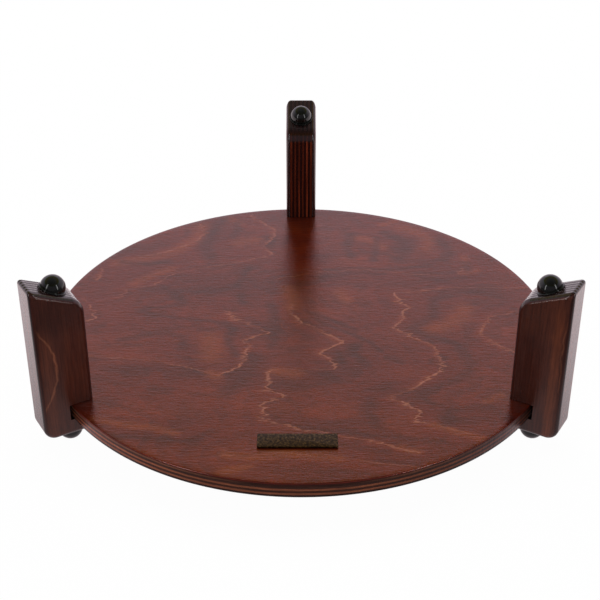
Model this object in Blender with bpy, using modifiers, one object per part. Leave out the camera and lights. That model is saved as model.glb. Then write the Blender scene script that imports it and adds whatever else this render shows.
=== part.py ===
"""Handpan sound plate: a round plywood plate in the slots of three plug-on posts.

The instrument rests on a rubber dome on the slanted top of each post, and the
plate below it throws the sound back up. Three more domes are the feet.

Metres, +Z up. The origin is the centre of the plate's top face, and +Y points
to the back post. A post is described in its own frame: x runs outward along
the plate's radius from the rim, y along the thickness of the post's board, and
z up from the plate's top face.
"""

from math import atan2, ceil, cos, pi, radians, sin, sqrt, tan

import bmesh
import bpy
from mathutils import Matrix, Vector

# Sound plate
PLATE_DIAMETER = 0.450
PLATE_THICKNESS = 0.0135
PLATE_EDGE_ROUND = 0.001

# Posts, cut from thick plywood board
POST_AZIMUTHS = {"back": 90, "left": 210, "right": 330}
POST_THICKNESS = 0.030
POST_OVERHANG = 0.0245
RIM_BITE = 0.0195
POST_RISE = 0.114
JAW_DEPTH = 0.015
TOP_SLOPE = radians(25)
ARRIS_ROUND = 0.0045
INNER_TOP_ROUND = 0.015
OUTER_TOP_ROUND = 0.0047
INNER_FOOT_ROUND = 0.0052
OUTER_FOOT_ROUND = 0.010

# Slot that grips the rim
SLOT_CLEARANCE = 0.0003
SLOT_END_RELIEF = 0.002

# Rubber domes: three seats for the instrument and three feet, all alike
DOME_DIAMETER = 0.0206
DOME_CENTRE_HEIGHT = 0.0019
DOME_FLAT_DIAMETER = 0.004
FLANGE_DIAMETER = 0.0228
FLANGE_THICKNESS = 0.0012
FLANGE_ROUND = 0.0004
SEAT_GAP = 0.0003
TOP_DOME_INSET = 0.0235
FOOT_INSET = 0.026

# Steel stud moulded into each dome and driven into the post
STUD_HEAD_DIAMETER = 0.012
STUD_HEAD_THICKNESS = 0.0016
STUD_SHANK_DIAMETER = 0.004
STUD_SHANK_LENGTH = 0.009
STUD_POINT_LENGTH = 0.002
STUD_CLEARANCE = 0.0003

# Bare badge glued on the plate in front
BADGE_WIDTH = 0.0635
BADGE_DEPTH = 0.017
BADGE_THICKNESS = 0.0015
BADGE_INSET = 0.0515
BADGE_OFFSET = -0.003
BADGE_CORNER_ROUND = 0.0012
BADGE_EDGE_ROUND = 0.0003
GLUE_GAP = 0.0003

# Facets and modelling tolerances
PLATE_STEPS = 112
DOME_STEPS = 32
STUD_STEPS = 16
ARC_STEP = radians(15)
ARRIS_SEGMENTS = 4
BADGE_EDGE_SEGMENTS = 2
SHARP_EDGE = radians(60)
SMOOTH_BELOW = radians(30)
SAME_FACE = radians(1)
SAME_POINT = 1e-6
CUTTER_MARGIN = 0.005

COLOURS = {
    "stained_plate": ((0.13, 0.045, 0.033), 0.35, 0.0),
    "stained_post": ((0.055, 0.021, 0.016), 0.38, 0.0),
    "black_rubber": ((0.011, 0.012, 0.011), 0.25, 0.0),
    "zinc_steel": ((0.55, 0.55, 0.53), 0.3, 1.0),
    "aged_bronze": ((0.085, 0.06, 0.032), 0.45, 0.8),
}


def clear_scene():
    for obj in list(bpy.data.objects):
        bpy.data.objects.remove(obj, do_unlink=True)


def new_collection(name):
    collection = bpy.data.collections.new(name)
    bpy.context.scene.collection.children.link(collection)
    return collection


def new_material(name):
    colour, roughness, metallic = COLOURS[name]
    material = bpy.data.materials.new(name)
    material.use_nodes = True
    shader = material.node_tree.nodes["Principled BSDF"]
    shader.inputs["Base Color"].default_value = (*colour, 1)
    shader.inputs["Roughness"].default_value = roughness
    shader.inputs["Metallic"].default_value = metallic
    return material


def new_object(name, data, collection, material=None, parent=None, matrix=None):
    obj = bpy.data.objects.new(name, data)
    collection.objects.link(obj)
    obj.parent = parent
    if matrix is not None:
        obj.matrix_local = matrix
    if material is not None and not data.materials:
        data.materials.append(material)
    return obj


def new_place(name, collection, matrix, parent=None):
    place = bpy.data.objects.new(name, None)
    collection.objects.link(place)
    place.parent = parent
    place.matrix_local = matrix
    return place


def as_cutter(obj):
    obj.hide_render = True
    obj.display_type = "WIRE"
    return obj


def cut(obj, cutter):
    modifier = obj.modifiers.new(f"cut_{cutter.name}", "BOOLEAN")
    modifier.operation = "DIFFERENCE"
    modifier.solver = "EXACT"
    modifier.object = cutter


def arc(centre, radius, start, end):
    """Points of an arc from the angle start to the angle end, both ends included."""
    count = max(2, ceil(abs(end - start) / ARC_STEP) + 1)
    angles = [start + (end - start) * i / (count - 1) for i in range(count)]
    return [Vector((centre[0] + radius * cos(a), centre[1] + radius * sin(a))) for a in angles]


def rounded_outline(corners):
    """A closed convex outline, anticlockwise, from corners (x, y, radius)."""
    points = []
    for i, (x, y, radius) in enumerate(corners):
        corner = Vector((x, y))
        last_side = (corner - Vector(corners[i - 1][:2])).normalized()
        next_side = (Vector(corners[(i + 1) % len(corners)][:2]) - corner).normalized()
        turn = last_side.angle(next_side)
        setback = radius * tan(turn / 2)
        inward = Vector((-last_side.y, last_side.x))
        centre = corner - last_side * setback + inward * radius
        start = atan2(-inward.y, -inward.x)
        points += arc(centre, radius, start, start + turn)
    return points


def board_mesh(name, outline, thickness):
    """A board of this outline in the XZ plane, centred on Y, as a closed mesh."""
    curve = bpy.data.curves.new(name, "CURVE")
    curve.dimensions = "2D"
    curve.fill_mode = "BOTH"
    curve.extrude = thickness / 2
    spline = curve.splines.new("POLY")
    spline.points.add(len(outline) - 1)
    for point, at in zip(spline.points, outline):
        point.co = (at.x, at.y, 0, 1)
    spline.use_cyclic_u = True
    flat = bpy.data.objects.new(name, curve)
    bpy.context.scene.collection.objects.link(flat)
    graph = bpy.context.evaluated_depsgraph_get()
    mesh = bpy.data.meshes.new_from_object(flat.evaluated_get(graph))
    bpy.data.objects.remove(flat)
    shape = bmesh.new()
    shape.from_mesh(mesh)
    bmesh.ops.remove_doubles(shape, verts=shape.verts, dist=SAME_POINT)
    bmesh.ops.dissolve_limit(shape, angle_limit=SAME_FACE, verts=shape.verts, edges=shape.edges)
    bmesh.ops.transform(shape, matrix=Matrix.Rotation(pi / 2, 4, "X"), verts=shape.verts)
    bmesh.ops.recalc_face_normals(shape, faces=shape.faces)
    shape.to_mesh(mesh)
    shape.free()
    mesh.shade_smooth()
    mesh.set_sharp_from_angle(angle=SMOOTH_BELOW)
    return mesh


def turned_mesh(name, profile):
    """The profile of a turned piece, from the axis down its outer side and back to the axis."""
    mesh = bpy.data.meshes.new(name)
    points = [(point[0], 0, point[1]) for point in profile]
    edges = [(i, i + 1) for i in range(len(points) - 1)]
    mesh.from_pydata(points, edges, [])
    return mesh


def turn(obj, steps):
    """Turns a profile about its own Z axis."""
    screw = obj.modifiers.new("turn", "SCREW")
    screw.steps = steps
    screw.render_steps = steps
    screw.use_merge_vertices = True
    screw.merge_threshold = SAME_POINT
    screw.use_smooth_shade = True


def round_edges(obj, width, segments):
    bevel = obj.modifiers.new("round_edges", "BEVEL")
    bevel.width = width
    bevel.segments = segments
    bevel.limit_method = "ANGLE"
    bevel.angle_limit = SHARP_EDGE


def plate_profile():
    rim = PLATE_DIAMETER / 2
    inner = rim - PLATE_EDGE_ROUND
    upper = arc((inner, -PLATE_EDGE_ROUND), PLATE_EDGE_ROUND, pi / 2, 0)
    lower = arc((inner, PLATE_EDGE_ROUND - PLATE_THICKNESS), PLATE_EDGE_ROUND, 0, -pi / 2)
    return [(0, 0), *upper, *lower, (0, -PLATE_THICKNESS)]


def build_plate(collection, material):
    mesh = turned_mesh("sound_plate", plate_profile())
    plate = new_object("sound_plate", mesh, collection, material)
    turn(plate, PLATE_STEPS)


def top_height(x):
    """Height of a post's slanted top at x, measured outward from the rim."""
    return POST_RISE - (POST_OVERHANG - x) * tan(TOP_SLOPE)


def post_outline():
    inner, outer = -RIM_BITE, POST_OVERHANG
    foot = -PLATE_THICKNESS - SLOT_CLEARANCE - JAW_DEPTH
    return rounded_outline(
        [
            (inner, foot, INNER_FOOT_ROUND),
            (outer, foot, OUTER_FOOT_ROUND),
            (outer, top_height(outer), OUTER_TOP_ROUND),
            (inner, top_height(inner), INNER_TOP_ROUND),
        ]
    )


def slot_cutter_mesh():
    """A block through the post from side to side, open towards the plate."""
    low = Vector(
        (-RIM_BITE - CUTTER_MARGIN, -POST_THICKNESS, -PLATE_THICKNESS - SLOT_CLEARANCE)
    )
    high = Vector((SLOT_END_RELIEF, POST_THICKNESS, SLOT_CLEARANCE))
    size = high - low
    shape = bmesh.new()
    place = Matrix.Translation((low + high) / 2) @ Matrix.Diagonal((*size, 1))
    bmesh.ops.create_cube(shape, size=1, matrix=place)
    mesh = bpy.data.meshes.new("slot_cutter")
    shape.to_mesh(mesh)
    shape.free()
    return mesh


def stud_hole_mesh():
    """A blind hole down from a dome's seat, along the seat's own axis."""
    depth = STUD_SHANK_LENGTH + STUD_CLEARANCE
    height = depth + CUTTER_MARGIN
    radius = STUD_SHANK_DIAMETER / 2 + STUD_CLEARANCE
    shape = bmesh.new()
    bmesh.ops.create_cone(
        shape,
        cap_ends=True,
        segments=STUD_STEPS,
        radius1=radius,
        radius2=radius,
        depth=height,
        matrix=Matrix.Translation((0, 0, CUTTER_MARGIN - height / 2)),
    )
    mesh = bpy.data.meshes.new("stud_hole_cutter")
    shape.to_mesh(mesh)
    shape.free()
    return mesh


def dome_profile():
    """A ball on a thin flange, with a small contact flat and a pocket for the stud's head."""
    ball, flange = DOME_DIAMETER / 2, FLANGE_DIAMETER / 2
    flat = DOME_FLAT_DIAMETER / 2
    centre = SEAT_GAP + DOME_CENTRE_HEIGHT
    shoulder = SEAT_GAP + FLANGE_THICKNESS
    top_angle = pi / 2 - atan2(flat, sqrt(ball**2 - flat**2))
    neck_drop = centre - shoulder
    neck_angle = -atan2(neck_drop, sqrt(ball**2 - neck_drop**2))
    pocket = STUD_HEAD_DIAMETER / 2 + STUD_CLEARANCE
    pocket_top = SEAT_GAP + STUD_HEAD_THICKNESS + STUD_CLEARANCE
    return [
        (0, centre + sqrt(ball**2 - flat**2)),
        *arc((0, centre), ball, top_angle, neck_angle),
        *arc((flange - FLANGE_ROUND, shoulder - FLANGE_ROUND), FLANGE_ROUND, pi / 2, 0),
        (flange, SEAT_GAP),
        (pocket, SEAT_GAP),
        (pocket, pocket_top),
        (0, pocket_top),
    ]


def stud_profile():
    head, shank = STUD_HEAD_DIAMETER / 2, STUD_SHANK_DIAMETER / 2
    return [
        (0, SEAT_GAP + STUD_HEAD_THICKNESS),
        (head, SEAT_GAP + STUD_HEAD_THICKNESS),
        (head, SEAT_GAP),
        (shank, SEAT_GAP),
        (shank, STUD_POINT_LENGTH - STUD_SHANK_LENGTH),
        (0, -STUD_SHANK_LENGTH),
    ]


def seat_on_top():
    """Where a top dome sits: its Z axis stands square to the slanted top."""
    x = POST_OVERHANG - TOP_DOME_INSET
    return Matrix.Translation((x, 0, top_height(x))) @ Matrix.Rotation(-TOP_SLOPE, 4, "Y")


def seat_below():
    """Where a foot sits: its Z axis points down."""
    foot = -PLATE_THICKNESS - SLOT_CLEARANCE - JAW_DEPTH
    place = Matrix.Translation((POST_OVERHANG - FOOT_INSET, 0, foot))
    return place @ Matrix.Rotation(pi, 4, "Y")


def build_dome(name, seat_place, shapes, parts, materials):
    """A rubber dome and the stud in it."""
    dome = new_object(name, shapes["dome"], parts, materials["black_rubber"], seat_place)
    turn(dome, DOME_STEPS)
    stud_name = f"{name}_stud"
    stud = new_object(stud_name, shapes["stud"], parts, materials["zinc_steel"], seat_place)
    turn(stud, STUD_STEPS)


def build_post(name, azimuth, shapes, parts, helpers, materials):
    """One post with its top dome and its foot."""
    turn_out = Matrix.Rotation(radians(azimuth), 4, "Z")
    at_rim = turn_out @ Matrix.Translation((PLATE_DIAMETER / 2, 0, 0))
    place = new_place(f"{name}_post_place", parts, at_rim)
    post = new_object(f"{name}_post", shapes["post"], parts, materials["stained_post"], place)
    round_edges(post, ARRIS_ROUND, ARRIS_SEGMENTS)
    cut(post, as_cutter(new_object(f"{name}_slot_cutter", shapes["slot"], helpers, None, place)))
    for use, seat in (("dome", seat_on_top()), ("foot", seat_below())):
        seat_place = new_place(f"{name}_{use}_seat", parts, seat, place)
        hole_name = f"{name}_{use}_hole_cutter"
        hole = new_object(hole_name, shapes["stud_hole"], helpers, None, seat_place)
        cut(post, as_cutter(hole))
        build_dome(f"{name}_{use}", seat_place, shapes, parts, materials)


def build_badge(collection, material):
    half_width, half_depth = BADGE_WIDTH / 2, BADGE_DEPTH / 2
    outline = rounded_outline(
        [
            (-half_width, -half_depth, BADGE_CORNER_ROUND),
            (half_width, -half_depth, BADGE_CORNER_ROUND),
            (half_width, half_depth, BADGE_CORNER_ROUND),
            (-half_width, half_depth, BADGE_CORNER_ROUND),
        ]
    )
    mesh = board_mesh("badge_plate", outline, BADGE_THICKNESS)
    lie_flat = Matrix.Rotation(-pi / 2, 4, "X")
    forward = PLATE_DIAMETER / 2 - BADGE_INSET
    place = Matrix.Translation((BADGE_OFFSET, -forward, GLUE_GAP + BADGE_THICKNESS / 2))
    badge = new_object("badge_plate", mesh, collection, material, matrix=place @ lie_flat)
    round_edges(badge, BADGE_EDGE_ROUND, BADGE_EDGE_SEGMENTS)


def main():
    clear_scene()
    parts = new_collection("handpan_sound_plate")
    helpers = new_collection("cutters")
    materials = {name: new_material(name) for name in COLOURS}
    build_plate(parts, materials["stained_plate"])
    build_badge(parts, materials["aged_bronze"])
    shapes = {
        "post": board_mesh("post", post_outline(), POST_THICKNESS),
        "slot": slot_cutter_mesh(),
        "stud_hole": stud_hole_mesh(),
        "dome": turned_mesh("dome", dome_profile()),
        "stud": turned_mesh("stud", stud_profile()),
    }
    for name, azimuth in POST_AZIMUTHS.items():
        build_post(name, azimuth, shapes, parts, helpers, materials)


main()
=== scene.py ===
"""Looks of the handpan sound plate: stained plywood, rubber domes, a bare bronze badge.

Metres, +Z up, with the origin at the centre of the plate's top face and +Y
towards the back post. A post is modelled at the plate's rim on the X axis,
with x running outward from the rim, and is then turned to its azimuth.
"""

from math import atan2, cos, hypot, pi, radians, sin, sqrt, tan

import bpy
import numpy as np
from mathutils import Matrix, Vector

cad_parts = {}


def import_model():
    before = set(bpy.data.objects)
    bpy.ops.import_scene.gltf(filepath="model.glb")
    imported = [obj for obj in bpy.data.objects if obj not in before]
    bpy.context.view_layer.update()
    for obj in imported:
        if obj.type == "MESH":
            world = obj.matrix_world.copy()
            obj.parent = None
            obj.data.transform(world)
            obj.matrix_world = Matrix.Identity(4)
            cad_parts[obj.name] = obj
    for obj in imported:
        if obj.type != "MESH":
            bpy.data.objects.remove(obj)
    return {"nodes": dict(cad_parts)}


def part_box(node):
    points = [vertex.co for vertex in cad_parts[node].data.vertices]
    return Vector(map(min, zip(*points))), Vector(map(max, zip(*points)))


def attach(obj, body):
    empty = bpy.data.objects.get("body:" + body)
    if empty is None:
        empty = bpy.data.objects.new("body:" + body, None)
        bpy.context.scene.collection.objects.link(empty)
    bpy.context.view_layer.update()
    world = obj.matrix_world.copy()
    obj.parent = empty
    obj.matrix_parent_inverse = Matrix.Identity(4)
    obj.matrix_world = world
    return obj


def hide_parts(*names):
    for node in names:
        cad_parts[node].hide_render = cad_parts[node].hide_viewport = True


# Plate. Its faces have rings of points, this gap apart, that carry the figure.
PLATE_EDGE_ROUND = 0.001
PLATE_EDGE_STEPS = 6
PLATE_STEPS = 320
PLATE_RING_GAP = 0.004

# Posts
POST_AZIMUTHS = {"back": 90, "left": 210, "right": 330}
POST_RISE = 0.114
TOP_SLOPE = radians(25)
ARRIS_ROUND = 0.0045
ARRIS_STEPS = 8
INNER_TOP_ROUND = 0.015
TOP_CORNER_EASE = 0.0022
TOP_CORNER_STEPS = 6
INNER_FOOT_ROUND = 0.0052
OUTER_FOOT_ROUND = 0.010
SLOT_CLEARANCE = 0.0003
SLOT_END_RELIEF = 0.002
SLOT_ARRIS = 0.0004
SLOT_ARRIS_STEPS = 3

# Rubber domes
DOME_DIAMETER = 0.0206
DOME_CENTRE_HEIGHT = 0.0019
DOME_FLAT_DIAMETER = 0.004
FLANGE_DIAMETER = 0.0228
FLANGE_THICKNESS = 0.0012
FLANGE_ROUND = 0.0004
SEAT_GAP = 0.0003
TOP_DOME_INSET = 0.0235
FOOT_INSET = 0.026
STUD_POCKET_DIAMETER = 0.0126
STUD_POCKET_DEPTH = 0.0019
DOME_STEPS = 96
DOME_ARC_STEPS = 28
FLANGE_ARC_STEPS = 4

# Badge
BADGE_CORNER_ROUND = 0.0012
BADGE_CORNER_STEPS = 6
BADGE_EDGE_ROUND = 0.0003
BADGE_EDGE_STEPS = 3

# Angles between two faces past which their edge is shaded sharp, or is bevelled
SMOOTH_ANGLE = radians(40)
BOARD_SMOOTH_ANGLE = radians(35)
SLOT_EDGE_ANGLE = radians(50)
MITRE_ANGLE = radians(20)

# Distances below which two places count as one
SAME_POINT = 1e-6
SAME_CORNER = 1e-4
SAME_DISTANCE = 1e-7

# Plywood
PLATE_PLIES = 7
POST_PLIES = 15
TOP_VENEER_SANDED = 0.3
PLATE_GRAIN_DEPTH = 0.00034
POST_GRAIN_DEPTH = 0.00010
PLATE_LUSTRE = 0.72
POST_LUSTRE = 0.2

# Where the dark glue line starts, is darkest and ends, in shares of a ply
GLUE_START = -0.08
GLUE_DARKEST = -0.01
GLUE_END = 0.06

# Stains, as linear colours
LATE_WOOD = (0.062, 0.0100, 0.0090)
EARLY_WOOD = (0.32, 0.070, 0.030)
FLAME = (0.310, 0.066, 0.012)
GROWTH_LINE = (0.41, 0.142, 0.088)
# The rim's paler second ply with a painted highlight, used where the rim faces sideways
PALER_PLY_AND_HIGHLIGHT = (0.330, 0.120, 0.065)
PLATE_GLUE = (0.012, 0.005, 0.004)
POST_GLUE = (0.01, 0.003, 0.002)
SOAKED_ARRIS = (0.020, 0.0062, 0.0058)
SOAKED_PLIES = [(0.009, 0.0050, 0.0050), (0.020, 0.0095, 0.0092)]
LIGHT_STREAK = (0.300, 0.095, 0.045)
WARM_STREAK = (0.175, 0.042, 0.016)
DEEP_STREAK = (0.034, 0.0075, 0.0048)

# The plies on the plate's rim, from the top down
RIM_PLIES = [
    (0.170, 0.022, 0.011),
    (0.085, 0.025, 0.015),
    (0.105, 0.040, 0.026),
    (0.500, 0.155, 0.072),
    (0.105, 0.033, 0.017),
    (0.460, 0.145, 0.068),
    (0.055, 0.019, 0.012),
]

# Colours that follow a noise, as (value of the noise, linear colour)
PLATE_VENEER = [
    (0.3, (0.135, 0.0150, 0.0058)),
    (0.5, (0.178, 0.0215, 0.0060)),
    (0.7, (0.228, 0.033, 0.0070)),
]
POST_VENEER = [
    (0.3, (0.066, 0.0157, 0.0095)),
    (0.5, (0.081, 0.0195, 0.0112)),
    (0.7, (0.101, 0.0255, 0.0135)),
]
POST_LONG_GRAIN = [
    (0.32, (0.060, 0.009, 0.004)),
    (0.5, (0.135, 0.021, 0.007)),
    (0.68, (0.250, 0.046, 0.015)),
]
POST_END_GRAIN = [
    (0.35, (0.012, 0.0025, 0.002)),
    (0.65, (0.03, 0.004, 0.003)),
]
RUBBER = [
    (0.3, (0.0045, 0.0055, 0.005)),
    (0.7, (0.0075, 0.0085, 0.0078)),
]
BRONZE = [
    (0.32, (0.008, 0.0045, 0.0018)),
    (0.5, (0.042, 0.022, 0.0070)),
    (0.68, (0.150, 0.085, 0.026)),
]
ZINC = [
    (0.3, (0.48, 0.49, 0.50)),
    (0.7, (0.60, 0.60, 0.58)),
]

# Camera
CAMERA_PLACE = (-0.00106, -0.9736, 0.6173)
CAMERA_TILT = radians(58.675)
SENSOR_WIDTH = 36
FOCAL_LENGTH = 76.76

# What is mirrored of the studio, as (sine of the height above the horizon, colour)
STUDIO_SHADES = [
    (0.0, (0.98, 0.87, 0.98)),
    (0.48, (1.0, 0.87, 1.0)),
    (0.53, (0.93, 0.97, 1.0)),
    (0.558, (0.78, 0.91, 1.0)),
    (0.588, (0.36, 0.49, 0.32)),
    (0.643, (0.43, 0.32, 0.0)),
    (0.82, (0.30, 0.24, 0.14)),
    (0.956, (0.22, 0.20, 0.19)),
    (1.0, (0.20, 0.19, 0.19)),
]
FLOOR_SIZE = 12

# Lamps, as (name, place, size, watts, is mirrored, lights surfaces)
LAMP_AIM = (0, 0, 0.03)
LAMPS = [
    ("overhead", (0, 0.55, 1.6), (1.6, 1.6), 22, False, True),
    ("left_strip", (-0.95, -0.9, 0.52), (0.16, 1.1), 3.2, True, False),
    ("right_strip", (0.95, -0.9, 0.52), (0.16, 1.1), 3.2, True, False),
]

# Streaks on the posts' two sides, as (x and z of the middle, curvature, reach up and
# down, half width, colour, strength)
POST_STREAKS = {
    "back": [((0.004, 0.045), -6.0, 0.050, 0.0030, WARM_STREAK, 0.6)],
    "left": [
        ((0.016, 0.020), 0.0, 0.070, 0.0075, WARM_STREAK, 0.35),
        ((0.0095, 0.040), 8.2, 0.047, 0.0015, LIGHT_STREAK, 0.6),
        ((0.0, 0.110), 0.0, 0.047, 0.0400, DEEP_STREAK, 0.45),
    ],
    "right": [
        ((-0.010, 0.030), 0.0, 0.110, 0.0200, DEEP_STREAK, 0.65),
        ((0.0155, 0.025), 0.0, 0.085, 0.0060, WARM_STREAK, 0.75),
        ((0.0205, 0.055), 1.5, 0.045, 0.0010, LIGHT_STREAK, 0.35),
        ((0.0, 0.104), 0.0, 0.045, 0.0300, WARM_STREAK, 0.2),
    ],
}

# The plate's figure. A growth line fades over LINE_FADE where two lines face each other.
MM_PER_METRE = 1000
LINE_FADE = 0.010
LINE_HALF_WIDTH = 0.0009
RING_PITCH = 0.017

# Growth lines of the plate's face veneer, as (strength, line), in millimetres. The
# darker late wood lies on the left-hand side of each line as it is walked.
GROWTH_LINES = [
    (0.55, [(-105, 190), (-95, 172), (-103, 160), (-115, 145), (-143, 127), (-170, 117)]),
    (0.60, [(-53, 212), (-38, 192), (-28, 180), (-27, 163), (-38, 143), (-28, 127),
            (-50, 115), (-73, 108)]),
    (0.40, [(-73, 108), (-100, 98), (-122, 90), (-140, 68), (-163, 60), (-168, 46),
            (-200, 34)]),
    (1.00, [(-67, 22), (-60, 8), (-45, 0), (-30, -16), (-48, -25), (-48, -55), (-54, -69),
            (-72, -82), (-88, -73), (-120, -62), (-150, -57), (-190, -52)]),
    (1.00, [(-10, 33), (-10, 17), (3, 0), (17, -13), (37, -31), (15, -47), (25, -54),
            (29, -72), (0, -75), (-28, -73), (-28, -103), (-13, -113), (-33, -122),
            (-29, -146), (0, -158), (53, -172), (92, -188)]),
    (0.70, [(-27, 78), (-10, 84), (20, 93), (63, 98), (117, 87), (150, 87), (158, 100)]),
    (1.00, [(215, 63), (133, 63), (110, 55), (88, 54), (92, 36), (100, 28), (92, 16),
            (95, 9), (82, -7), (100, -23), (117, -38), (121, -72), (98, -98), (75, -113),
            (97, -135), (92, -146), (135, -163)]),
    (0.60, [(195, 20), (170, 10), (158, -18), (180, -43), (200, -52)]),
    (0.80, [(-62, -192), (-23, -187), (17, -192), (57, -199), (92, -206)]),
    (0.70, [(-202, 46), (-195, 34), (-187, 10), (-193, 2)]),
    (0.70, [(-192, 100), (-190, 88), (-197, 78)]),
]

# Soft bands of the same figure, as (half width, line), in millimetres.
DARK_BANDS = [
    (9, [(-78, 205), (-86, 185), (-92, 165), (-95, 145), (-92, 130), (-87, 118)]),
    (5, [(-66, 195), (-64, 178), (-68, 165)]),
    (6, [(-32, 165), (-30, 145)]),
    (5, [(-175, 112), (-150, 108), (-130, 112)]),
    (5, [(-50, 102), (-55, 82), (-62, 66), (-78, 58), (-100, 55), (-120, 58)]),
    (8, [(-148, 58), (-128, 61), (-118, 50), (-110, 37)]),
    (3, [(-108, 36), (-120, 30), (-142, 26)]),
    (6, [(-146, 22), (-133, 14)]),
    (3, [(-133, 14), (-115, 10), (-95, 7), (-80, 3), (-68, 0)]),
    (5, [(-68, 0), (-61, -8), (-63, -30), (-58, -48), (-50, -60)]),
    (10, [(-40, -58), (-44, -75), (-51, -90), (-60, -105)]),
    (5, [(-160, -28), (-140, -20), (-120, -15), (-107, -22)]),
    (6, [(-104, -25), (-103, -40)]),
    (5, [(-56, 50), (-54, 35)]),
    (6, [(-27, 30), (-23, 8), (-22, -12), (-26, -38)]),
    (6, [(-125, -102), (-110, -106)]),
    (5, [(-150, -166), (-115, -170), (-80, -173)]),
    (7, [(84, 172), (95, 162), (102, 150)]),
    (11, [(102, 150), (103, 132), (95, 117)]),
    (5, [(76, 162), (74, 136), (70, 116)]),
    (6, [(52, 168), (45, 142), (50, 122)]),
    (8, [(140, 155), (147, 132), (140, 116)]),
    (4, [(20, 82), (45, 88), (70, 95), (100, 100), (125, 106)]),
    (3, [(22, 96), (52, 92), (80, 90)]),
    (4, [(170, 56), (150, 54), (136, 50)]),
    (8, [(134, 50), (125, 42), (122, 25), (121, 12)]),
    (7, [(112, 3), (99, -8), (106, -16), (113, -22)]),
    (5, [(113, -22), (127, -27), (138, -35)]),
    (7, [(139, -37), (143, -52), (145, -66), (140, -82)]),
    (5, [(138, -84), (126, -93), (112, -100)]),
    (9, [(106, -104), (98, -112)]),
    (4, [(98, -112), (106, -121), (118, -128)]),
    (9, [(122, -132), (116, -150)]),
    (3, [(8, 12), (25, -3), (45, -18), (60, -30), (70, -45)]),
    (3, [(4, 22), (24, 8), (48, -10)]),
    (7, [(47, -38), (45, -48)]),
    (5, [(50, -55), (58, -68)]),
    (5, [(74, -54), (86, -62)]),
    (5, [(32, -48), (35, -60)]),
    (8, [(20, -80), (29, -86)]),
    (8, [(56, -122), (55, -136), (61, -150)]),
    (4, [(30, -160), (70, -168), (112, -173)]),
    (4, [(32, -178), (68, -187)]),
    (6, [(159, 110), (161, 97)]),
]
PALE_BANDS = [
    (9, [(-100, 186), (-104, 162), (-124, 133), (-150, 119), (-180, 110)]),
    (7, [(-125, 98), (-145, 84), (-160, 70)]),
    (11, [(-62, 150), (-48, 158)]),
    (6, [(-75, 205), (-62, 190)]),
    (5, [(-168, -144), (-142, -151), (-120, -155), (-100, -162)]),
    (6, [(-60, -188), (-42, -194), (-15, -188), (30, -194)]),
    (5, [(-62, -211), (-40, -204)]),
    (10, [(104, 182), (120, 172), (129, 156), (125, 140)]),
    (7, [(56, 162), (70, 156), (80, 142)]),
    (5, [(84, 190), (98, 196)]),
    (5, [(160, 122), (159, 106)]),
    (5, [(156, 90), (169, 96)]),
    (11, [(116, -8), (134, 0), (146, 12), (150, 26)]),
    (5, [(106, -150), (125, -162), (142, -168)]),
    (5, [(78, -181), (90, -186)]),
    (5, [(152, -119), (166, -111)]),
    (7, [(-78, -78), (-72, -84)]),
    (8, [(-22, -76), (-4, -80)]),
    (7, [(36, 55), (42, 38)]),
    (9, [(-12, 60), (-8, 30)]),
    (12, [(-80, -25), (-78, -55)]),
]


# Modelling


def pick(obj):
    """Selects one object alone and makes it the active one."""
    bpy.ops.object.select_all(action="DESELECT")
    obj.select_set(True)
    bpy.context.view_layer.objects.active = obj


def settle():
    """Puts the selected piece's place, turn and size in its mesh."""
    bpy.ops.object.transform_apply(location=True, rotation=True, scale=True)


def start_block(low, high):
    """Starts a piece as a box between two corners and leaves it in edit mode."""
    bpy.ops.object.select_all(action="DESELECT")
    bpy.ops.mesh.primitive_cube_add(
        size=1,
        location=[(a + b) / 2 for a, b in zip(low, high)],
        scale=[b - a for a, b in zip(low, high)],
    )
    settle()
    bpy.ops.object.mode_set(mode="EDIT")
    return bpy.context.object


def finish_modelling(name, smooth_angle=None):
    """Leaves edit mode, puts the piece's place in its mesh and names it."""
    bpy.ops.object.mode_set(mode="OBJECT")
    settle()
    obj = bpy.context.object
    if smooth_angle is not None:
        bpy.ops.object.shade_smooth_by_angle(angle=smooth_angle)
    obj.name = obj.data.name = name
    return obj


def arc(centre, radius, start, end, steps):
    angles = [start + (end - start) * i / steps for i in range(steps + 1)]
    return [(centre[0] + radius * cos(a), centre[1] + radius * sin(a)) for a in angles]


def turned(name, profile, steps):
    """A turned piece: its half profile of (radius, height) is drawn, then spun about Z."""
    first_radius, first_height = profile[0]
    bpy.ops.object.select_all(action="DESELECT")
    bpy.ops.mesh.primitive_plane_add(size=0.01, location=(first_radius, 0, first_height))
    bpy.ops.object.mode_set(mode="EDIT")
    bpy.ops.mesh.select_mode(type="VERT")
    bpy.ops.mesh.merge(type="CENTER")
    for (radius, height), (next_radius, next_height) in zip(profile, profile[1:]):
        step = (next_radius - radius, 0, next_height - height)
        bpy.ops.mesh.extrude_region_move(TRANSFORM_OT_translate={"value": step})
    bpy.ops.mesh.select_all(action="SELECT")
    bpy.ops.mesh.spin(steps=steps, angle=2 * pi, center=(0, 0, 0), axis=(0, 0, 1))
    bpy.ops.mesh.select_all(action="SELECT")
    bpy.ops.mesh.remove_doubles(threshold=SAME_POINT)
    bpy.ops.mesh.normals_make_consistent(inside=False)
    return finish_modelling(name, SMOOTH_ANGLE)


def select_edges(obj, wanted):
    """Selects, in edit mode, the edges whose two ends satisfy wanted(a, b)."""
    bpy.ops.mesh.select_all(action="DESELECT")
    bpy.ops.mesh.select_mode(type="EDGE")
    bpy.ops.object.mode_set(mode="OBJECT")
    points = [vertex.co.copy() for vertex in obj.data.vertices]
    for edge in obj.data.edges:
        edge.select = wanted(points[edge.vertices[0]], points[edge.vertices[1]])
    bpy.ops.object.mode_set(mode="EDIT")


def apply_modifier(obj, modifier):
    pick(obj)
    bpy.ops.object.modifier_apply(modifier=modifier.name)


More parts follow.
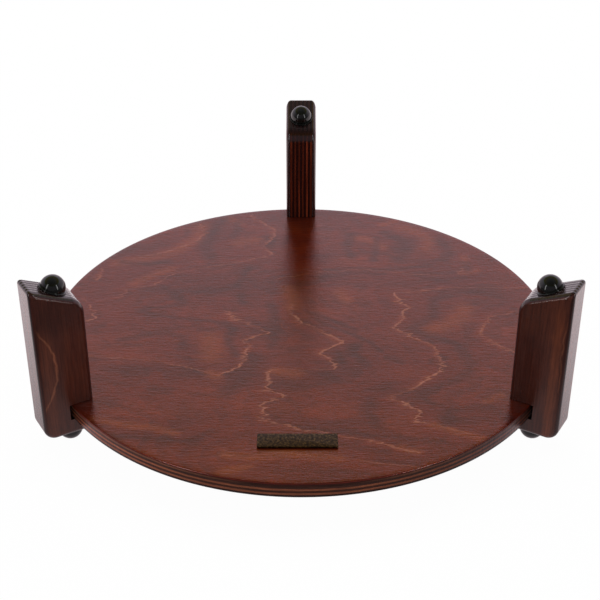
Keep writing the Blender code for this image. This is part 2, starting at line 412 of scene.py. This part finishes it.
def along_line(line, x, y):
    """Distance from points to one drawn line, its side, its slope and where it has ended.

    The side is positive on the left as the line is walked. The slope is the rate at
    which the signed distance grows along X, the way the fibres run.
    """
    points = np.array(line) / MM_PER_METRE
    nearest = np.full(len(x), np.inf)
    across = np.zeros(len(x))
    slope = np.zeros(len(x))
    for start, end in zip(points, points[1:]):
        length = np.hypot(*(end - start))
        along = (end - start) / length
        offset = np.stack([x - start[0], y - start[1]], axis=1)
        share = np.clip(offset @ along, 0, length)
        gap = offset - share[:, None] * along
        distance = np.hypot(gap[:, 0], gap[:, 1])
        square = offset[:, 1] * along[0] - offset[:, 0] * along[1]
        tied = np.abs(distance - nearest) < SAME_DISTANCE
        squarer = tied & (np.abs(square) > np.abs(across))
        better = (distance < nearest - SAME_DISTANCE) | squarer
        nearest = np.where(better, distance, nearest)
        across = np.where(better, square, across)
        slope = np.where(better, -along[1], slope)
    past_end = np.zeros(len(x), bool)
    for tip, before in ((points[0], points[1]), (points[-1], points[-2])):
        outward = tip - before
        beyond = (x - tip[0]) * outward[0] + (y - tip[1]) * outward[1] > 0
        past_end |= beyond & (np.hypot(x - tip[0], y - tip[1]) < nearest + SAME_POINT)
    return nearest, np.sign(across), slope, past_end


def growth_field(x, y):
    """Signed distance to the nearest growth line, that line's slope, and its strength there.

    Half way between two lines that face each other, and past a line's end, the
    distance changes its sign without a line, so the strength fades to nothing there.
    """
    strengths = np.array([strength for strength, line in GROWTH_LINES])
    fields = zip(*(along_line(line, x, y) for strength, line in GROWTH_LINES))
    distances, sides, slopes, past_ends = (np.array(field) for field in fields)
    first = distances.argmin(axis=0)
    each = np.arange(len(x))
    nearest, side = distances[first, each], sides[first, each]
    facing = np.where(sides == side, np.inf, distances).min(axis=0)
    clear = np.clip((facing - nearest) / LINE_FADE, 0, 1) * strengths[first]
    clear = np.where(past_ends[first, each], 0, clear)
    return np.stack([side * nearest, slopes[first, each], clear], axis=1)


def band_field(bands, x, y):
    """Distance to the nearest soft band, as a share of its half width."""
    shares = [along_line(line, x, y)[0] * MM_PER_METRE / width for width, line in bands]
    return np.min(shares, axis=0)


def store_on_points(mesh, name, vectors):
    attribute = mesh.attributes.new(name, "FLOAT_VECTOR", "POINT")
    attribute.data.foreach_set("vector", vectors.astype(np.float32).ravel())


def model_plate(radius, thickness):
    """The round plate, with the figure of both its faces stored on its points."""
    edge, inner = PLATE_EDGE_ROUND, radius - PLATE_EDGE_ROUND
    rings = round(inner / PLATE_RING_GAP)
    across = [inner * i / rings for i in range(rings)]
    profile = [(r, 0) for r in across]
    profile += arc((inner, -edge), edge, pi / 2, 0, PLATE_EDGE_STEPS)
    profile += arc((inner, edge - thickness), edge, 0, -pi / 2, PLATE_EDGE_STEPS)
    profile += [(r, -thickness) for r in reversed(across)]
    plate = turned("plate_board", profile, PLATE_STEPS)
    points = np.array([vertex.co for vertex in plate.data.vertices])
    top = points[:, 2] > -thickness / 2
    x, y = np.where(top, points[:, 0], -points[:, 0]), points[:, 1]
    growth = growth_field(x, y)
    growth[~top, 1] *= -1
    store_on_points(plate.data, "growth", growth)
    bands = [band_field(DARK_BANDS, x, y), band_field(PALE_BANDS, x, y), np.zeros(len(x))]
    store_on_points(plate.data, "bands", np.stack(bands, axis=1))
    return plate


def round_corner(obj, x, z, radius, turn, segments):
    """Rounds the edge of a post's board that runs across it at (x, z)."""
    select_edges(
        obj,
        lambda a, b: max(abs(p.x - x) + abs(p.z - z) for p in (a, b)) < SAME_CORNER,
    )
    bpy.ops.mesh.bevel(offset=radius * tan(turn / 2), segments=segments, affect="EDGES")


def ease_top_corner(obj, outer):
    """Eases the mitre that the rounded arrises leave at a post's highest corner."""
    bpy.ops.mesh.select_all(action="DESELECT")
    bpy.ops.mesh.select_mode(type="EDGE")
    bpy.ops.mesh.edges_select_sharp(sharpness=MITRE_ANGLE)
    bpy.ops.object.mode_set(mode="OBJECT")
    points = [vertex.co.copy() for vertex in obj.data.vertices]
    for edge in obj.data.edges:
        ends = [points[i] for i in edge.vertices]
        at_top = min(p.z for p in ends) > POST_RISE - 2 * ARRIS_ROUND
        at_outside = min(p.x for p in ends) > outer - 2 * ARRIS_ROUND
        edge.select = edge.select and at_top and at_outside
    bpy.ops.object.mode_set(mode="EDIT")
    width = TOP_CORNER_EASE * tan((pi / 2 + TOP_SLOPE) / 2)
    bpy.ops.mesh.bevel(
        offset=width, segments=TOP_CORNER_STEPS, affect="EDGES", clamp_overlap=True
    )


def cut_slot(board, inner, thickness, plate_thickness):
    """Cuts the rim's slot right across a board, a little past the rim, and eases its edges."""
    start_block(
        (2 * inner, -thickness, -plate_thickness - SLOT_CLEARANCE),
        (SLOT_END_RELIEF, thickness, SLOT_CLEARANCE),
    )
    cutter = finish_modelling("slot_cutter")
    slot = board.modifiers.new("slot", "BOOLEAN")
    slot.operation = "DIFFERENCE"
    slot.object = cutter
    apply_modifier(board, slot)
    bpy.data.objects.remove(cutter, do_unlink=True)

    eased = board.modifiers.new("eased_slot", "BEVEL")
    eased.width = SLOT_ARRIS
    eased.segments = SLOT_ARRIS_STEPS
    eased.limit_method = "ANGLE"
    eased.angle_limit = SLOT_EDGE_ANGLE
    apply_modifier(board, eased)


def model_post(inner, outer, foot, thickness, plate_thickness):
    """One post on the X axis: a board with a slanted top, round corners and the rim's slot."""
    inner_top = POST_RISE - (outer - inner) * tan(TOP_SLOPE)
    board = start_block((inner, -thickness / 2, foot), (outer, thickness / 2, POST_RISE))
    select_edges(board, lambda a, b: min(a.z, b.z) > 0 and max(a.x, b.x) < 0)
    bpy.ops.transform.translate(value=(0, 0, inner_top - POST_RISE))
    round_corner(board, inner, foot, INNER_FOOT_ROUND, pi / 2, segments=8)
    round_corner(board, outer, foot, OUTER_FOOT_ROUND, pi / 2, segments=12)
    round_corner(board, inner, inner_top, INNER_TOP_ROUND, pi / 2 - TOP_SLOPE, segments=16)
    select_edges(board, lambda a, b: abs(a.y - b.y) < SAME_POINT)
    bpy.ops.mesh.bevel(offset=ARRIS_ROUND, segments=ARRIS_STEPS, affect="EDGES")
    ease_top_corner(board, outer)
    bpy.ops.object.mode_set(mode="OBJECT")
    cut_slot(board, inner, thickness, plate_thickness)
    bpy.ops.object.shade_smooth_by_angle(angle=BOARD_SMOOTH_ANGLE)
    even = board.modifiers.new("even_shading", "WEIGHTED_NORMAL")
    even.keep_sharp = True
    apply_modifier(board, even)
    return board


def model_dome():
    """A rubber dome standing on its seat: a ball, its flange and the stud's pocket below."""
    ball, flange = DOME_DIAMETER / 2, FLANGE_DIAMETER / 2
    flat = DOME_FLAT_DIAMETER / 2
    flat_rise = sqrt(ball**2 - flat**2)
    centre = SEAT_GAP + DOME_CENTRE_HEIGHT
    shoulder = SEAT_GAP + FLANGE_THICKNESS
    neck_drop = centre - shoulder
    neck_angle = -atan2(neck_drop, sqrt(ball**2 - neck_drop**2))
    top_angle = pi / 2 - atan2(flat, flat_rise)
    rim = (flange - FLANGE_ROUND, shoulder - FLANGE_ROUND)
    pocket = STUD_POCKET_DIAMETER / 2
    pocket_top = SEAT_GAP + STUD_POCKET_DEPTH
    profile = [(0, centre + flat_rise)]
    profile += arc((0, centre), ball, top_angle, neck_angle, DOME_ARC_STEPS)
    profile += arc(rim, FLANGE_ROUND, pi / 2, 0, FLANGE_ARC_STEPS)
    profile += [(flange, SEAT_GAP), (pocket, SEAT_GAP), (pocket, pocket_top), (0, pocket_top)]
    return turned("dome", profile, DOME_STEPS)


def model_badge(low, high):
    """A thin plate with round corners and softened edges."""
    badge = start_block(low, high)
    select_edges(badge, lambda a, b: abs(a.z - b.z) > SAME_POINT)
    bpy.ops.mesh.bevel(offset=BADGE_CORNER_ROUND, segments=BADGE_CORNER_STEPS, affect="EDGES")
    select_edges(badge, lambda a, b: abs(a.z - b.z) < SAME_POINT)
    bpy.ops.mesh.bevel(offset=BADGE_EDGE_ROUND, segments=BADGE_EDGE_STEPS, affect="EDGES")
    return finish_modelling("badge", SMOOTH_ANGLE)


def copy_of(obj, name):
    duplicate = obj.copy()
    duplicate.data = obj.data.copy()
    duplicate.name = duplicate.data.name = name
    bpy.context.scene.collection.objects.link(duplicate)
    return duplicate


def place(obj, turn, move, tilt=0):
    """Tilts a piece about Y, moves it, turns it about Z, and keeps that in its mesh."""
    pick(obj)
    obj.rotation_euler = (0, tilt, 0)
    obj.location = move
    settle()
    obj.rotation_euler = (0, 0, turn)
    settle()
    return obj


# Materials


class Nodes:
    """Short hand for building the node tree of a material or of the world.

    A value is a number, a tuple or another node's output. A colour has no alpha.
    """

    def __init__(self, owner):
        owner.use_nodes = True
        self.owner = owner
        self.tree = owner.node_tree

    def add(self, kind, inputs=(), **settings):
        """Adds a node with its settings, and with its inputs given by name or number."""
        node = self.tree.nodes.new(kind)
        for key, value in settings.items():
            setattr(node, key, value)
        for key, value in dict(inputs).items():
            self.put(node.inputs[key], value)
        return node

    def put(self, socket, value):
        if isinstance(value, bpy.types.NodeSocket):
            self.tree.links.new(value, socket)
        elif socket.type == "RGBA":
            socket.default_value = (*value, 1)
        else:
            socket.default_value = value

    def position(self):
        return self.add("ShaderNodeTexCoord").outputs["Object"]

    def normal(self):
        return self.add("ShaderNodeNewGeometry").outputs["Normal"]

    def stored(self, name):
        return self.add("ShaderNodeAttribute", attribute_name=name).outputs["Vector"]

    def axes(self, vector):
        return self.add("ShaderNodeSeparateXYZ", {0: vector}).outputs

    def math(self, operation, *values):
        return self.add("ShaderNodeMath", enumerate(values), operation=operation).outputs[0]

    def plus(self, first, second):
        return self.math("ADD", first, second)

    def minus(self, first, second):
        return self.math("SUBTRACT", first, second)

    def times(self, product, *factors):
        for factor in factors:
            product = self.math("MULTIPLY", product, factor)
        return product

    def over(self, first, second):
        return self.math("DIVIDE", first, second)

    def absolute(self, value):
        return self.math("ABSOLUTE", value)

    def fraction(self, value):
        return self.math("FRACT", value)

    def rest(self, share):
        """What a share leaves of 1."""
        return self.minus(1.0, share)

    def swing(self, noise, width):
        """Centres a noise on 0 and gives it this width."""
        return self.times(self.minus(noise, 0.5), width)

    def noise(self, where, scale, detail, roughness=0.5, shift=0.0):
        """Noise of so many blobs to the metre, as one number or as one for each axis."""
        if isinstance(scale, tuple):
            node = self.add("ShaderNodeVectorMath", {0: where, 1: scale}, operation="MULTIPLY")
            where, scale = node.outputs[0], 1
        node = self.add(
            "ShaderNodeTexNoise",
            {
                "Vector": where,
                "W": shift,
                "Scale": scale,
                "Detail": detail,
                "Roughness": roughness,
            },
            noise_dimensions="4D",
        )
        return node.outputs["Fac"]

    def ramp(self, value, stops):
        """Maps a value through (position, colour) stops."""
        node = self.add("ShaderNodeValToRGB", {"Fac": value})
        elements = node.color_ramp.elements
        for i, (at, colour) in enumerate(stops):
            element = elements[i] if i < 2 else elements.new(at)
            element.position = at
            element.color = (*colour, 1)
        return node.outputs["Color"]

    def span(self, value, low, high, to_low=0.0, to_high=1.0, smooth=True):
        """Maps low to to_low and high to to_high, and stays there beyond them."""
        node = self.add(
            "ShaderNodeMapRange",
            {
                "Value": value,
                "From Min": low,
                "From Max": high,
                "To Min": to_low,
                "To Max": to_high,
            },
            interpolation_type="SMOOTHSTEP" if smooth else "LINEAR",
        )
        return node.outputs[0]

    def mix(self, share, first, second):
        """Goes from the first colour to the second as the share goes from 0 to 1."""
        node = self.add("ShaderNodeMix", {"Factor": share}, data_type="RGBA")
        colours = [socket for socket in node.inputs if socket.type == "RGBA"]
        for socket, value in zip(colours, (first, second)):
            self.put(socket, value)
        return [socket for socket in node.outputs if socket.type == "RGBA"][0]

    def scale_colour(self, colour, factor):
        node = self.add("ShaderNodeVectorMath", {0: colour, "Scale": factor}, operation="SCALE")
        return node.outputs[0]

    def bump(self, height, distance, strength):
        inputs = {"Height": height, "Distance": distance, "Strength": strength}
        return self.add("ShaderNodeBump", inputs).outputs[0]

    def mix_shaders(self, share, first, second):
        return self.add("ShaderNodeMixShader", {0: share, 1: first, 2: second}).outputs[0]

    def finish(self, **inputs):
        """Sets the inputs of the material's own shader and gives the material."""
        shader = self.tree.nodes["Principled BSDF"]
        for key, value in inputs.items():
            self.put(shader.inputs[key.replace("_", " ")], value)
        return self.owner

    def lacquered(self, colour, relief, lustre, across):
        """Wood whose fibres throw light back square to themselves, under a coat of lacquer."""
        return self.finish(
            Base_Color=colour,
            Metallic=lustre,
            Roughness=0.30,
            IOR=1.0,
            Specular_Tint=(0.5, 0.12, 0.08),
            Anisotropic=0.85,
            Tangent=self.add("ShaderNodeCombineXYZ", enumerate(across)).outputs[0],
            Normal=relief,
            Coat_Weight=1.0,
            Coat_Roughness=0.10,
            Coat_IOR=1.5,
            Coat_Normal=relief,
        )


def jagged_growth(n, spot, comb):
    """The stored growth field with its lines drawn out along the fibres.

    It gives the signed distance, how square the line runs to the fibres, and the
    line's strength.
    """
    distance, slope, strength = n.axes(n.stored("growth"))
    restless = n.noise(spot, (26, 46, 1), detail=2, shift=17)
    reach = n.span(restless, 0.38, 0.62, 0.008, 0.046)
    spikes = n.times(n.minus(comb, 0.5), reach, slope)
    sway = n.swing(n.noise(spot, (60, 110, 1), detail=3, roughness=0.6, shift=4), 0.010)
    return n.plus(distance, n.plus(spikes, sway)), n.absolute(slope), strength


def plate_veneer(n, spot, fibre, hair):
    """The stained face veneer, whose fibres run along X."""
    comb = n.noise(spot, (34, 300, 1), detail=3, roughness=0.7)
    distance, square, strength = jagged_growth(n, spot, comb)
    near = n.absolute(distance)
    broad = n.noise(spot, (9, 20, 1), detail=4, roughness=0.6, shift=2)
    patch = n.noise(spot, (15, 34, 1), detail=4, roughness=0.65, shift=7)
    colour = n.ramp(broad, PLATE_VENEER)

    # Late wood darkens one side of a growth line, and patches elsewhere.
    late = n.times(n.span(distance, 0.0, 0.0015), n.span(distance, 0.020, 0.001))
    late = n.times(late, strength, n.span(patch, 0.35, 0.65, 0.05, 0.35))
    colour = n.mix(late, colour, LATE_WOOD)
    colour = n.mix(n.span(patch, 0.48, 0.72, 0.0, 0.35), colour, LATE_WOOD)

    # Fainter rings run alongside the growth lines at an even pitch.
    bend = n.noise(spot, (14, 20, 1), detail=3, roughness=0.6, shift=11)
    ring = n.fraction(n.over(n.plus(near, n.times(bend, 0.06)), RING_PITCH))
    ring = n.times(n.span(ring, 0.1, 0.95), n.span(ring, 1.0, 0.97))
    ring = n.times(ring, n.span(patch, 0.36, 0.58, 0.15, 1.0))
    colour = n.mix(n.times(ring, 0.35), colour, LATE_WOOD)

    # The drawn bands have ragged edges.
    ragged = n.swing(comb, 2.4)
    dark_band, pale_band, _ = n.axes(n.stored("bands"))
    for band, share, shade in ((pale_band, 0.55, FLAME), (dark_band, 0.54, LATE_WOOD)):
        inside = n.span(n.plus(band, ragged), 1.5, 0.0)
        colour = n.mix(n.times(inside, share), colour, shade)

    # Early wood glows on a line's other side, mostly where it crosses the fibres.
    early = n.times(n.span(distance, -0.008, -0.0005), n.span(distance, 0.0030, -0.0005))
    early = n.times(early, n.times(strength, n.span(square, 0.2, 1.0, 0.3, 1.0)))
    glow = n.span(n.noise(spot, (22, 34, 1), detail=2, shift=13), 0.42, 0.6, 0.1, 0.65)
    colour = n.mix(n.times(early, glow), colour, EARLY_WOOD)

    # The line itself is broken, and twice as wide where it crosses the fibres.
    width = n.plus(n.times(square, LINE_HALF_WIDTH), LINE_HALF_WIDTH)
    line = n.rest(n.span(n.over(near, width), 0.2, 1.0))
    broken = n.noise(spot, (30, 60, 1), detail=2, shift=9)
    broken = n.times(n.span(broken, 0.36, 0.58, 0.12, 1.0), n.span(square, 0.0, 0.7, 0.3, 1.0))
    colour = n.mix(n.times(n.times(line, strength), broken), colour, GROWTH_LINE)

    flow = n.noise(spot, (25, 150, 1), detail=3, roughness=0.6, shift=15)
    streaks = n.times(
        n.span(fibre, 0.25, 0.75, 0.75, 1.25, smooth=False),
        n.span(flow, 0.3, 0.7, 0.91, 1.09, smooth=False),
    )
    hairs = n.span(hair, 0.3, 0.7, 0.85, 1.15, smooth=False)
    return n.scale_colour(colour, n.times(streaks, hairs))


def plate_rim(n, spot, sideways, thickness):
    """The plies and glue lines on the plate's rim, with painted shade that darkens its
    right-hand side.
    """
    wave = n.swing(n.noise(spot, (60, 60, 10), detail=1, shift=5), 0.0004)
    level = n.plus(n.axes(spot)["Z"], wave)
    ply = n.plus(n.over(n.times(level, -PLATE_PLIES), thickness), TOP_VENEER_SANDED)
    stops = []
    for i, shade in enumerate(RIM_PLIES):
        stops += [(i + GLUE_END, shade), (i + 1 + GLUE_START, shade)]
        stops += [(i + 1 + GLUE_DARKEST, PLATE_GLUE)]
    stops = [(at / PLATE_PLIES, shade) for at, shade in stops[:-1]]
    colour = n.ramp(n.over(ply, PLATE_PLIES), stops)

    # Where the rim faces sideways its second ply is paler: partly the ply's paler wood, partly
    # a painted highlight.
    second = n.times(n.span(ply, 0.95, 1.2), n.span(ply, 2.0, 1.85))
    second = n.times(second, n.span(n.absolute(sideways), 0.15, 0.42))
    colour = n.mix(second, colour, PALER_PLY_AND_HIGHLIGHT)

    around = n.noise(spot, (50, 50, 900), detail=3, roughness=0.65, shift=1)
    # Random tone around the rim, times painted shade that darkens the rim where it faces right.
    stain = n.times(
        n.span(around, 0.3, 0.7, 0.60, 1.40, smooth=False),
        n.span(sideways, 0.05, 0.8, 1.0, 0.35),
    )
    return n.scale_colour(colour, stain)


def stained_plate(thickness):
    """Red-brown stain on a flame-cut veneer, lacquered, with the plies on the rim."""
    n = Nodes(bpy.data.materials.new("stained_plate_plywood"))
    spot = n.position()
    facing = n.axes(n.normal())
    fibre = n.noise(spot, (78, 430, 1), detail=4, roughness=0.75)
    hair = n.noise(spot, (240, 1100, 1), detail=2, roughness=0.6, shift=3)
    veneer = plate_veneer(n, spot, fibre, hair)
    rim = plate_rim(n, spot, facing["X"], thickness)
    flat = n.span(n.absolute(facing["Z"]), 0.55, 0.9)
    relief = n.bump(n.plus(fibre, n.times(hair, 0.4)), PLATE_GRAIN_DEPTH, 1.0)
    return n.lacquered(n.mix(flat, rim, veneer), relief, PLATE_LUSTRE, (0, 1, 0))


def post_plies(n, spot, azimuth, ply, odd, tall, outward, upward):
    """The plies and glue lines on a board's edges, dark where a ply's fibres end there."""
    pores = n.noise(spot, (1500, 1500, 1500), detail=2, shift=2)
    stain = n.noise(spot, (30, 420, 30), detail=1, shift=azimuth + 3)
    each_ply = n.add(
        "ShaderNodeTexWhiteNoise",
        {"W": n.plus(n.math("FLOOR", ply), azimuth)},
        noise_dimensions="1D",
    ).outputs["Value"]
    lightness = n.times(
        n.span(stain, 0.3, 0.7, 0.6, 1.4, smooth=False),
        n.span(each_ply, 0.0, 1.0, 0.55, 1.6, smooth=False),
    )
    long_grain = n.scale_colour(n.ramp(tall, POST_LONG_GRAIN), lightness)
    end_grain = n.ramp(pores, POST_END_GRAIN)
    ends_here = n.plus(
        n.times(odd, n.span(outward, 0.35, 0.8)),
        n.times(n.rest(odd), n.span(upward, 0.35, 0.8)),
    )
    wood = n.mix(ends_here, long_grain, end_grain)
    glue = n.span(n.absolute(n.minus(n.fraction(ply), 0.5)), 0.42, 0.5)
    return n.mix(n.times(glue, 0.6), wood, POST_GLUE)


def soaked(n, colour, odd, aside, upward, thickness):
    """Sanded arrises and the slanted top drink more of the stain."""
    arris = n.span(aside, thickness * 0.30, thickness * 0.45, 0.0, 0.8)
    rounded = n.plus(upward, n.times(aside, 0.35 / thickness))
    arris = n.math("MAXIMUM", arris, n.span(rounded, 0.12, 0.32, 0.0, 0.85))
    colour = n.mix(arris, colour, SOAKED_ARRIS)
    return n.mix(n.span(upward, 0.5, 0.85, 0.0, 0.85), colour, n.mix(odd, *SOAKED_PLIES))


def post_side(n, spot, azimuth, streaks, fibre):
    """The upright veneer on a board's two sides, with its streaks."""
    x, _, z = n.axes(spot)
    figure = n.noise(spot, (120, 1, 10), detail=3, roughness=0.6, shift=azimuth + 9)
    veneer = n.ramp(figure, POST_VENEER)
    sway = n.noise(spot, (40, 1, 60), detail=3, roughness=0.6, shift=azimuth + 5)
    sway = n.swing(sway, 0.008)
    for (middle_x, middle_z), curvature, reach, width, shade, strength in streaks:
        rise = n.minus(z, middle_z)
        bow = n.times(rise, rise, curvature)
        off = n.minus(x, n.plus(n.plus(bow, sway), middle_x))
        inside = n.rest(n.span(n.absolute(off), width * 0.2, width))
        ends = n.span(n.absolute(rise), reach, reach * 0.6)
        veneer = n.mix(n.times(inside, ends, strength), veneer, shade)
    return n.scale_colour(veneer, n.span(fibre, 0.28, 0.72, 0.52, 1.48, smooth=False))


def stained_post(name, azimuth, radius, thickness):
    """Dark stain on a thick board: plies on its edges, an upright veneer on its sides."""
    n = Nodes(bpy.data.materials.new(f"stained_{name}_post_plywood"))
    turn = radians(azimuth)
    spot = n.add(
        "ShaderNodeMapping",
        {"Vector": n.position(), "Rotation": (0, 0, -turn), "Location": (-radius, 0, 0)},
    ).outputs[0]
    normal = n.normal()
    outward = n.add(
        "ShaderNodeVectorMath",
        {0: normal, 1: (cos(turn), sin(turn), 0)},
        operation="DOT_PRODUCT",
    ).outputs["Value"]
    outward, upward = n.absolute(outward), n.absolute(n.axes(normal)["Z"])

    wobble = n.swing(n.noise(spot, (25, 4, 25), detail=1, shift=azimuth), 0.0005)
    y = n.plus(n.axes(spot)["Y"], wobble)
    ply = n.over(n.plus(y, thickness / 2), thickness / POST_PLIES)
    pair = n.fraction(n.times(ply, 0.5))
    odd = n.math("GREATER_THAN", pair, 0.5)
    tall = n.noise(spot, (700, 900, 14), detail=3, roughness=0.65, shift=azimuth)
    level = n.noise(spot, (14, 900, 700), detail=3, roughness=0.65, shift=azimuth + 1)
    fibre = n.noise(spot, (650, 1, 30), detail=4, roughness=0.7, shift=azimuth)

    edge = post_plies(n, spot, azimuth, ply, odd, tall, outward, upward)
    edge = soaked(n, edge, odd, n.absolute(y), upward, thickness)
    side = n.rest(n.span(n.math("MAXIMUM", outward, upward), 0.25, 0.6))
    colour = n.mix(side, edge, post_side(n, spot, azimuth, POST_STREAKS[name], fibre))

    # The slanted top has one rib for every two plies.
    rib = n.times(n.absolute(n.minus(pair, 0.5)), 2.0, n.span(upward, 0.4, 0.8, 0.0, 2.4))
    grain = n.plus(tall, n.plus(level, fibre))
    relief = n.bump(n.plus(grain, rib), POST_GRAIN_DEPTH, 0.8)
    return n.lacquered(colour, relief, POST_LUSTRE, (-sin(turn), cos(turn), 0))


def black_rubber():
    """Smooth moulded rubber, glossy, with the faintest mould grain."""
    n = Nodes(bpy.data.materials.new("black_moulded_rubber"))
    spot = n.position()
    return n.finish(
        Base_Color=n.ramp(n.noise(spot, 260, detail=3), RUBBER),
        Roughness=n.span(n.noise(spot, 900, detail=2, shift=1), 0.3, 0.7, 0.08, 0.12),
        Specular_IOR_Level=0.4,
        Normal=n.bump(n.noise(spot, 2500, detail=1), 0.00001, 0.4),
    )


def aged_bronze():
    """Cast bronze, chemically darkened, mottled and a little smoother where it is bright."""
    n = Nodes(bpy.data.materials.new("aged_bronze"))
    spot = n.position()
    mottle = n.noise(spot, 520, detail=4, roughness=0.65)
    grit = n.noise(spot, 1100, detail=3, roughness=0.6, shift=3)
    return n.finish(
        Base_Color=n.ramp(mottle, BRONZE),
        Metallic=0.9,
        Roughness=n.span(mottle, 0.3, 0.7, 0.55, 0.38),
        Normal=n.bump(grit, 0.00015, 0.6),
    )


def zinc_steel():
    """Zinc-plated steel for the studs inside the domes."""
    n = Nodes(bpy.data.materials.new("zinc_plated_steel"))
    grain = n.noise(n.position(), (300, 300, 3000), detail=3)
    return n.finish(
        Base_Color=n.ramp(grain, ZINC),
        Metallic=1.0,
        Roughness=n.span(grain, 0.3, 0.7, 0.28, 0.42),
    )


def dress(obj, material, body, slot, *nodes):
    """Gives a piece its finish and body, and lets it stand for its CAD node."""
    obj.data.materials.clear()
    obj.data.materials.append(material)
    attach(obj, body)
    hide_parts(*nodes)


# Camera, light and floor


def floor_material():
    """White paper: pure white further out, keeping a soft shadow near the object.

    Where it is mirrored it is white behind the object and dim in front, as in a
    studio that is lit from behind.
    """
    n = Nodes(bpy.data.materials.new("white_floor"))
    n.tree.nodes.clear()
    spot = n.position()
    away = n.add("ShaderNodeVectorMath", {0: spot}, operation="LENGTH").outputs["Value"]
    whiteness = n.span(away, 0.25, 0.9, 0.98, 1.0, smooth=False)
    backlight = n.span(n.axes(spot)["Y"], -0.30, 0.10, 0.12, 1.4)
    paper = n.add("ShaderNodeBsdfDiffuse", {"Color": (0.9, 0.9, 0.9)})
    glow = n.add("ShaderNodeEmission")
    mirrored = n.add("ShaderNodeEmission", {"Color": (1.0, 0.88, 0.91), "Strength": backlight})
    ray = n.add("ShaderNodeLightPath").outputs
    camera_share = n.times(ray["Is Camera Ray"], whiteness)
    seen = n.mix_shaders(camera_share, paper.outputs[0], glow.outputs[0])
    surface = n.mix_shaders(ray["Is Glossy Ray"], seen, mirrored.outputs[0])
    n.add("ShaderNodeOutputMaterial", {"Surface": surface})
    return n.owner


def lay_floor(height):
    bpy.ops.object.select_all(action="DESELECT")
    bpy.ops.mesh.primitive_plane_add(size=FLOOR_SIZE, location=(0, 0, height))
    floor = bpy.context.object
    floor.name = floor.data.name = "floor"
    floor.data.materials.append(floor_material())


def light_world():
    """A white studio: seen white, dim for diffuse light, darker overhead where mirrored."""
    world = bpy.data.worlds.new("studio")
    bpy.context.scene.world = world
    n = Nodes(world)
    n.tree.nodes.clear()
    _, towards_back, height = n.axes(n.add("ShaderNodeTexCoord").outputs["Generated"])
    backlight = n.span(towards_back, -0.5, 0.4, 0.25, 1.0)
    seen = n.add("ShaderNodeBackground", {"Color": (1, 1, 1)})
    soft = n.add("ShaderNodeBackground", {"Color": (0.97, 0.985, 1), "Strength": 0.42})
    mirrored = n.add(
        "ShaderNodeBackground", {"Color": n.ramp(height, STUDIO_SHADES), "Strength": backlight}
    )
    ray = n.add("ShaderNodeLightPath").outputs
    lit = n.mix_shaders(ray["Is Glossy Ray"], soft.outputs[0], mirrored.outputs[0])
    surface = n.mix_shaders(ray["Is Camera Ray"], lit, seen.outputs[0])
    n.add("ShaderNodeOutputWorld", {"Surface": surface})


def hang_light(name, location, size, watts, mirrored, lights):
    data = bpy.data.lights.new(name, "AREA")
    data.shape = "RECTANGLE"
    data.size, data.size_y = size
    data.energy = watts
    lamp = bpy.data.objects.new(name, data)
    bpy.context.scene.collection.objects.link(lamp)
    lamp.location = location
    x, y, z = (a - b for a, b in zip(LAMP_AIM, location))
    lamp.rotation_euler = (pi / 2 + atan2(z, hypot(x, y)), 0, atan2(-x, y))
    lamp.visible_glossy = mirrored
    lamp.visible_diffuse = lights
    lamp.visible_camera = False


def aim_camera():
    data = bpy.data.cameras.new("camera")
    data.sensor_width = SENSOR_WIDTH
    data.lens = FOCAL_LENGTH
    camera = bpy.data.objects.new("camera", data)
    bpy.context.scene.collection.objects.link(camera)
    camera.location = CAMERA_PLACE
    camera.rotation_euler = (CAMERA_TILT, 0, 0)
    bpy.context.scene.camera = camera


# The object


def build_plate():
    """Dresses the plate and gives its radius and thickness."""
    low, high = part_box("sound_plate")
    radius, thickness = (high.x - low.x) / 2, high.z - low.z
    plate = model_plate(radius, thickness)
    dress(plate, stained_plate(thickness), "plate", "plate_wood", "sound_plate")
    return radius, thickness


def build_badge():
    low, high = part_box("badge_plate")
    dress(model_badge(low, high), aged_bronze(), "plate", "badge_bronze", "badge_plate")


def build_posts(frame, radius, plate_thickness):
    """Dresses the three posts, each with a dome on top, a foot below and its two studs."""
    low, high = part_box("back_post")
    inner, outer = low.y - radius, high.y - radius
    thickness = high.x - low.x
    board = model_post(inner, outer, low.z, thickness, plate_thickness)
    dome = model_dome()
    rubber, steel = black_rubber(), zinc_steel()
    seat_height = POST_RISE - TOP_DOME_INSET * tan(TOP_SLOPE)
    seat_place = (radius + (outer - TOP_DOME_INSET), 0, seat_height)
    foot_place = (radius + outer - FOOT_INSET, 0, low.z)
    for name, azimuth in POST_AZIMUTHS.items():
        turn, body = radians(azimuth), f"{name}_leg"
        post = place(copy_of(board, f"{name}_post_board"), turn, (radius, 0, 0))
        wood = stained_post(name, azimuth, radius, thickness)
        dress(post, wood, body, "post_wood", f"{name}_post")
        seat = place(copy_of(dome, f"{name}_seat_dome"), turn, seat_place, tilt=-TOP_SLOPE)
        dress(seat, rubber, body, "dome_rubber", f"{name}_dome")
        foot = place(copy_of(dome, f"{name}_foot_dome"), turn, foot_place, tilt=pi)
        dress(foot, rubber, body, "dome_rubber", f"{name}_foot")
        for stud in (f"{name}_dome_stud", f"{name}_foot_stud"):
            materials = frame["nodes"][stud].data.materials
            materials.clear()
            materials.append(steel)
    for pattern in (board, dome):
        bpy.data.objects.remove(pattern, do_unlink=True)


def main():
    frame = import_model()
    bpy.context.scene.view_settings.view_transform = "Standard"
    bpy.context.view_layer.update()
    radius, plate_thickness = build_plate()
    build_badge()
    build_posts(frame, radius, plate_thickness)
    aim_camera()
    lay_floor(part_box("back_foot")[0].z)
    light_world()
    for lamp in LAMPS:
        hang_light(*lamp)


main()
